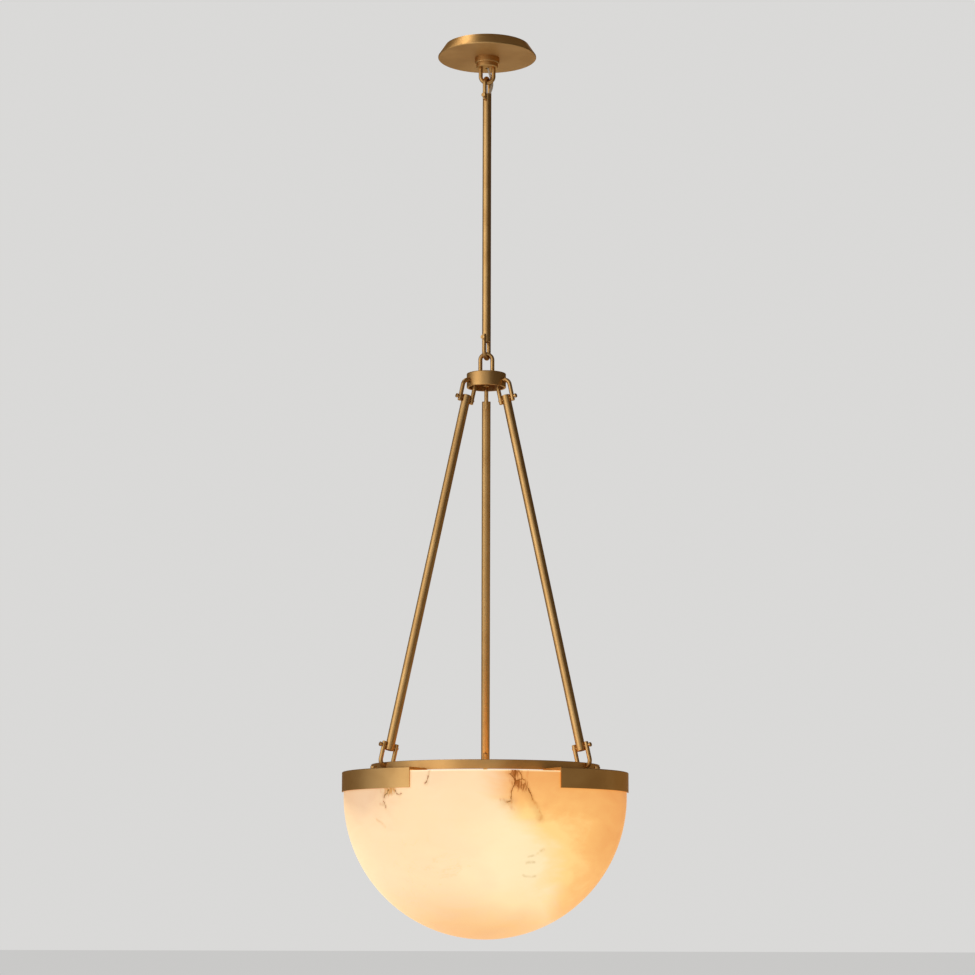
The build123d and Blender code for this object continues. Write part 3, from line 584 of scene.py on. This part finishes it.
def surface(name, grid, closeAcross=False, closeAlong=False):
    # a grid of points, rows by columns by xyz, made into quads; either way may close on itself
    rows, columns = grid.shape[:2]
    r = np.arange(rows if closeAlong else rows - 1)
    c = np.arange(columns if closeAcross else columns - 1)
    row, column = (m.ravel() for m in np.meshgrid(r, c, indexing="ij"))
    nextRow, nextColumn = (row + 1) % rows, (column + 1) % columns
    quads = np.stack([
        row * columns + column, row * columns + nextColumn,
        nextRow * columns + nextColumn, nextRow * columns + column,
    ], axis=1)
    mesh = bpy.data.meshes.new(name)
    mesh.from_pydata(grid.reshape(-1, 3).tolist(), [], quads.tolist())
    mesh.polygons.foreach_set("use_smooth", np.ones(len(quads), bool))
    mesh.update()
    piece = bpy.data.objects.new(name, mesh)
    bpy.context.scene.collection.objects.link(piece)
    return piece


def closePoles(piece):
    # the points of a pole lie on each other; merging them closes it
    mesh = bmesh.new()
    mesh.from_mesh(piece.data)
    bmesh.ops.remove_doubles(mesh, verts=mesh.verts, dist=0.00001)
    bmesh.ops.recalc_face_normals(mesh, faces=mesh.faces)
    mesh.to_mesh(piece.data)
    mesh.free()
    piece.data.polygons.foreach_set("use_smooth", np.ones(len(piece.data.polygons), bool))


def bend(centreR, centreZ, radius, fromAngle, toAngle, steps):
    # points of an arc in the (radius, z) plane; angles in degrees from +radius towards +z
    a = np.radians(np.linspace(fromAngle, toAngle, steps))
    return np.stack([centreR + radius * np.cos(a), centreZ + radius * np.sin(a)], axis=1)


def stoneBowl():
    # a closed (radius, z) outline, from the bottom of the outside over the rim to the bottom of the inside,
    # carried round Z; a few slow waves of the radius stand for the hand finish
    outer, inner = stone["radius"], stone["radius"] - stone["wall"]
    rim, middle, edge = stone["rim"], stone["centre"], stone["edge"]
    top = rim - stone["grooveTop"]
    low = top - stone["grooveHeight"]
    deep = inner + stone["grooveDepth"]
    small = edge / 2
    outline = np.concatenate([
        bend(0, middle, outer, -90, 0, 120),
        np.stack([np.full(8, outer), np.linspace(middle, rim - edge, 9)[1:]], axis=1),
        bend(outer - edge, rim - edge, edge, 0, 90, 7)[1:],
        bend(inner + edge, rim - edge, edge, 90, 180, 7),
        bend(inner + small, top + small, small, 180, 270, 4),
        [(deep - small, top), (deep, top - small), (deep, low + small), (deep - small, low)],
        bend(inner + small, low - small, small, 90, 180, 4),
        bend(0, middle, inner, 0, -90, 100),
    ])
    radius, z = outline[:, 0], outline[:, 1]
    turn = np.linspace(0, 2 * np.pi, stone["turnSteps"], endpoint=False)[:, None]
    wave = np.sin(3 * turn + 14 * z) + 0.6 * np.sin(7 * turn - 31 * z) + 0.4 * np.sin(11 * turn + 53 * z)
    fade = np.clip(radius / outer, 0, 1) ** 2
    r = radius * np.ones_like(turn) - stone["unevenness"] * (1 + wave / 2) * fade
    grid = np.stack([r * np.cos(turn), r * np.sin(turn), np.broadcast_to(z, r.shape)], axis=2)
    piece = surface("stone_bowl", grid, closeAlong=True)
    closePoles(piece)
    return piece


# pale twin lead, held in the nipple and in the down rod
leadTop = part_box("loop_base")[0].z
lead = {
    # x, y and height over the base's underside
    "route": [
        (0.0, 0.0, 0.0327), (0.0, 0.0, 0.0015), (0.0046, 0.0026, -0.0090), (0.0076, 0.0056, -0.0195),
        (0.0066, 0.0034, -0.0300), (0.0031, -0.00113, -0.0391), (0.0031, -0.00113, -0.0549),
    ],
    "coreRadius": 0.00125,
    "coreOffset": 0.00075,   # each core's centre from the middle
    "width": 0.0040,
    "twist": 55.0,           # radians per metre
    "around": 20,
    "meet": -0.0253,         # height where the upper and the lower half meet, on the link
    # the bodies that a half hangs between, and the heights between which it bends
    "halves": {
        "lead_upper": ("canopy", "upper_link", 0.0, -0.0245),
        "lead_lower": ("upper_link", "down_rod", -0.0265, -0.0405),
    },
}


def splinePoints(route):
    # the route's own smooth line: a NURBS spline of order 3 through its ends
    curve = bpy.data.curves.new("leadLine", "CURVE")
    curve.dimensions = "3D"
    curve.resolution_u = 24
    line = curve.splines.new("NURBS")
    line.points.add(len(route) - 1)
    for point, place in zip(line.points, route):
        point.co = (place[0], place[1], place[2] + leadTop, 1)
    line.order_u = 3
    line.use_endpoint_u = True
    holder = bpy.data.objects.new("leadLine", curve)
    mesh = bpy.data.meshes.new_from_object(holder)
    points = np.array([v.co for v in mesh.vertices])
    bpy.data.objects.remove(holder)
    bpy.data.meshes.remove(mesh)
    bpy.data.curves.remove(curve)
    return points


def twinFlex(name, path):
    # an oval of two cores, its long way turning slowly as it is carried along the path
    tangent = np.gradient(path, axis=0)
    tangent /= np.linalg.norm(tangent, axis=1)[:, None]
    side = np.cross(tangent, (0.0, 1.0, 0.0))
    side /= np.linalg.norm(side, axis=1)[:, None]
    up = np.cross(side, tangent)
    along = np.concatenate([[0], np.cumsum(np.linalg.norm(np.diff(path, axis=0), axis=1))])
    spin = (along * lead["twist"])[:, None]
    around = np.linspace(0, 2 * np.pi, lead["around"], endpoint=False)
    across = lead["coreOffset"] * np.sign(np.cos(around)) + lead["coreRadius"] * np.cos(around)
    tall = lead["coreRadius"] * np.sin(around) * (0.86 + 0.14 * np.abs(np.cos(around)))
    u = np.cos(spin) * across - np.sin(spin) * tall
    v = np.sin(spin) * across + np.cos(spin) * tall
    grid = path[:, None, :] + u[:, :, None] * side[:, None, :] + v[:, :, None] * up[:, None, :]
    first, last = (np.repeat(path[end, None, None, :], lead["around"], axis=1) for end in (0, -1))
    piece = surface(name, np.concatenate([first, grid, last]), closeAcross=True)
    closePoles(piece)
    return piece


def leadLines():
    # the part outside the rod, in two halves that meet on the link, and the part inside it
    line = splinePoints(lead["route"])
    split = int(np.argmin(np.abs(line[:, 2] - leadTop - lead["meet"])))
    low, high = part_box("rod_lead")
    middle = (low + high) / 2
    heights = np.linspace(high.z, low.z, 6) - leadTop
    inside = splinePoints([(middle.x, middle.y, height) for height in heights])
    return {"lead_upper": line[:split + 1], "lead_lower": line[split:], "lead_in_rod": inside}


def leanTurn(side):
    # Euler turn that stands a leaning rod's own axis up along Z
    way = (middleOf(side + "_top_pin") - middleOf(side + "_bottom_pin")).normalized()
    return way.rotation_difference(Vector((0, 0, 1))).to_euler()


sides = ("left", "right", "back")
brassRound = agedBrass("aged_brass_turned", "round")
brassCanopy = agedBrass("aged_brass_canopy", "round", mattBelow=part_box("canopy_shell")[0].z)
brassBar = agedBrass("aged_brass_bar", "none")
brassTube = agedBrass("aged_brass_tube", "along")
brassBolt = agedBrass("burnished_brass_bolt", "none", tone=0.35)
zinc = plainMetal("zinc_plate", (0.62, 0.62, 0.60), 0.34)
green = plainMetal("green_plate", (0.05, 0.26, 0.07), 0.38)
padSkin = plainSkin("pad_silicone", (0.72, 0.70, 0.64), 0.55)
porcelain = plainSkin("glazed_porcelain", (0.86, 0.83, 0.76), 0.12, scale=60.0)
leadSkin = plainSkin("cream_lead_jacket", (0.93, 0.79, 0.60), 0.30, scale=420.0)
stoneFinish = alabaster("lit_alabaster")

finishOf = {
    "canopy_shell": brassCanopy,
    "down_tube": brassTube,
    "clamp_bolts": brassBolt,
    "ground_screw": green,
    "alabaster_bowl": stoneFinish,
}
finishOf.update(dict.fromkeys((
    "collar_ring", "loop_base", "hub_cup", "hub_bushing", "gallery_ring", "cluster_body", "cluster_cover", "cover_nut",
), brassRound))
finishOf.update(dict.fromkeys((
    "crossbar", "threaded_nipple", "nipple_locknut", "hub_loop_nuts", "lamp_bridge", "bridge_screws",
    "cluster_stem", "bridge_nuts",
), zinc))
finishOf.update(dict.fromkeys(("rim_pads", "toe_pads"), padSkin))
finishOf.update(dict.fromkeys(("supply_lead", "rod_lead"), leadSkin))
for name in nodes:
    if name.endswith(("_shackle", "_pin")) or name in ("canopy_loop", "hub_loop"):
        finishOf[name] = brassBar
for side in sides:
    finishOf["clip_" + side] = finishOf["clamp_block_" + side] = brassRound
    finishOf[side + "_tube"] = agedBrass("aged_brass_tube_" + side, "along", turn=leanTurn(side))
for number, name in enumerate(lampNames, 1):
    finishOf[name] = opalGlass("opal_glass_" + str(number), globes[number - 1])
    finishOf["lampholder_" + str(number)] = porcelain

missing = sorted(set(nodes) - set(finishOf))
print("finishes:", len(set(finishOf.values())), "nodes without one:", missing)
for name, finish in finishOf.items():
    for slot in nodes[name].material_slots:
        slot.material = finish

bowl = stoneBowl()
bowl.data.materials.append(stoneFinish)
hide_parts("alabaster_bowl")
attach(bowl, "bowl")
print("stone bowl:", len(bowl.data.polygons), "faces")

for name, path in leadLines().items():
    piece = twinFlex(name, path)
    piece.data.materials.append(leadSkin)
    if name in lead["halves"]:
        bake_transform(piece)
        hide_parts("supply_lead")
    else:
        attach(piece, "down_rod")
        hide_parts("rod_lead")

studio = {
    "backdrop": (0.70, 0.695, 0.685),
    "fillStrength": 0.42,    # the backdrop as soft light on matt surfaces
    "floor": (0.62, 0.61, 0.60),
    "floorZ": -2.35,
    "floorReach": 60.0,
    "floorPale": 0.84,       # share of the backdrop's paleness that the camera sees on the floor
    "floorStrength": 0.95,
    "keyColour": (1.0, 0.96, 0.90),
}
softboxes = {
    "key": {"place": (-2.83, -2.06, -0.1), "target": (0, 0, -0.75), "size": (3.0, 3.0), "power": 31.0},
    "top": {"place": (-1.02, 0.20, 1.85), "target": (0, 0, 0), "size": (0.62, 0.62), "power": 7.0},
    "back": {"place": (0.1, 2.9, 0.6), "target": (0, 0, -0.6), "size": (1.2, 1.6), "power": 3.0},
}
# dark sheets that only the brass mirrors; foot and head are their radiance there
screens = {
    "shade_right": {
        "azimuths": (14, 160), "heights": (-2.3, 1.9), "radii": (2.6, 2.6),
        "foot": (0.36, 0.29, 0.20), "head": (0.085, 0.07, 0.055),
    },
    "shade_left": {
        "azimuths": (-165, -106), "heights": (-2.3, 1.9), "radii": (2.6, 2.6),
        "foot": (0.22, 0.19, 0.16), "head": (0.12, 0.11, 0.10),
    },
    "shade_above": {
        "azimuths": (-180, 180), "heights": (2.0, 2.4), "radii": (3.4, 0.02),
        "foot": (0.15, 0.125, 0.10), "head": (0.15, 0.125, 0.10),
    },
}
screenFade = (-1.0, -0.35)   # heights between which a screen goes from foot to head


def softbox(name, place, target, size, power):
    lamp = bpy.data.lights.new(name, "AREA")
    lamp.shape = "RECTANGLE"
    lamp.size, lamp.size_y = size
    lamp.energy = power
    lamp.color = studio["keyColour"]
    box = bpy.data.objects.new(name + "_softbox", lamp)
    box.location = place
    box.rotation_euler = (Vector(target) - box.location).to_track_quat("-Z", "Y").to_euler()
    box.visible_camera = False
    bpy.context.scene.collection.objects.link(box)


class Studio(Paint):
    # nodes of the world or of a stage sheet: pale to the camera and in reflections
    def __init__(self, tree):
        self.tree = tree
        tree.nodes.clear()

    def shown(self):
        rays = ("Is Camera Ray", "Is Glossy Ray", "Is Transmission Ray")
        camera, glossy, clear = (self.make("ShaderNodeLightPath", {}, {}, ray) for ray in rays)
        return self.calc("MAXIMUM", self.calc("MAXIMUM", camera, glossy), clear)


def stageMaterial(name, mesh):
    material = bpy.data.materials.new(name)
    material.use_nodes = True
    mesh.materials.append(material)
    return Studio(material.node_tree)


def studioAir():
    world = bpy.data.worlds.new("studio_air")
    bpy.context.scene.world = world
    world.use_nodes = True
    paint = Studio(world.node_tree)
    strength = paint.shown() * (1 - studio["fillStrength"]) + studio["fillStrength"]
    air = paint.make("ShaderNodeBackground", {}, {"Color": (*studio["backdrop"], 1), "Strength": strength})
    paint.make("ShaderNodeOutputWorld", {}, {"Surface": air})


def studioFloor():
    reach, z = studio["floorReach"], studio["floorZ"]
    corners = [(-reach, -reach, z), (reach, -reach, z), (reach, reach, z), (-reach, reach, z)]
    mesh = bpy.data.meshes.new("floor")
    mesh.from_pydata(corners, [], [(0, 1, 2, 3)])
    floor = bpy.data.objects.new("floor", mesh)
    bpy.context.scene.collection.objects.link(floor)
    paint = stageMaterial("floor_finish", mesh)
    matt = paint.make("ShaderNodeBsdfDiffuse", {}, {"Color": (*studio["floor"], 1)})
    glow = {"Color": (*studio["backdrop"], 1), "Strength": studio["floorStrength"]}
    pale = paint.make("ShaderNodeEmission", {}, glow)
    both = paint.make("ShaderNodeMixShader", {}, {0: paint.shown() * studio["floorPale"], 1: matt, 2: pale})
    paint.make("ShaderNodeOutputMaterial", {}, {"Surface": both})


def shadeScreen(name, azimuths, heights, radii, foot, head):
    # part of a cone round Z from one azimuth to the other: its radius goes evenly from the first to the second
    # as its height does
    turn = np.radians(np.linspace(*azimuths, 40))
    level = np.linspace(*heights, 12)[:, None]
    radius = np.linspace(*radii, 12)[:, None]
    grid = np.stack(np.broadcast_arrays(radius * np.sin(turn), -radius * np.cos(turn), level), axis=2)
    screen = surface(name, grid)
    paint = stageMaterial(name + "_finish", screen.data)
    place = paint.make("ShaderNodeTexCoord", {}, {}, "Object")
    tone = paint.mix(paint.step(paint.parts(place)[2], *screenFade), foot, head)
    glow = paint.make("ShaderNodeEmission", {}, {"Color": tone, "Strength": 1.0})
    paint.make("ShaderNodeOutputMaterial", {}, {"Surface": glow})
    for ray in ("camera", "diffuse", "transmission", "shadow"):
        setattr(screen, "visible_" + ray, False)


studioAir()
studioFloor()
for name, look in screens.items():
    shadeScreen(name, **look)
for name, look in softboxes.items():
    softbox(name, **look)
print("studio lit")

view = {
    "place": (0.0021, -3.847, -1.2520),
    "pitch": 8.76,           # degrees above level
    "roll": 0.15,
    "focal": 2700.0,         # in pixels of a 975 pixel wide picture
    "width": 975.0,
}
cameraData = bpy.data.cameras.new("photo_camera")
cameraData.sensor_width = 36.0
cameraData.lens = view["focal"] / view["width"] * cameraData.sensor_width
camera = bpy.data.objects.new("photo_camera", cameraData)
camera.location = view["place"]
level = Matrix.Rotation(math.radians(90 + view["pitch"]), 4, "X")
camera.rotation_euler = (level @ Matrix.Rotation(math.radians(view["roll"]), 4, "Z")).to_euler()
bpy.context.scene.collection.objects.link(camera)
bpy.context.scene.camera = camera
bpy.context.scene.view_settings.view_transform = "Standard"
print("camera set")
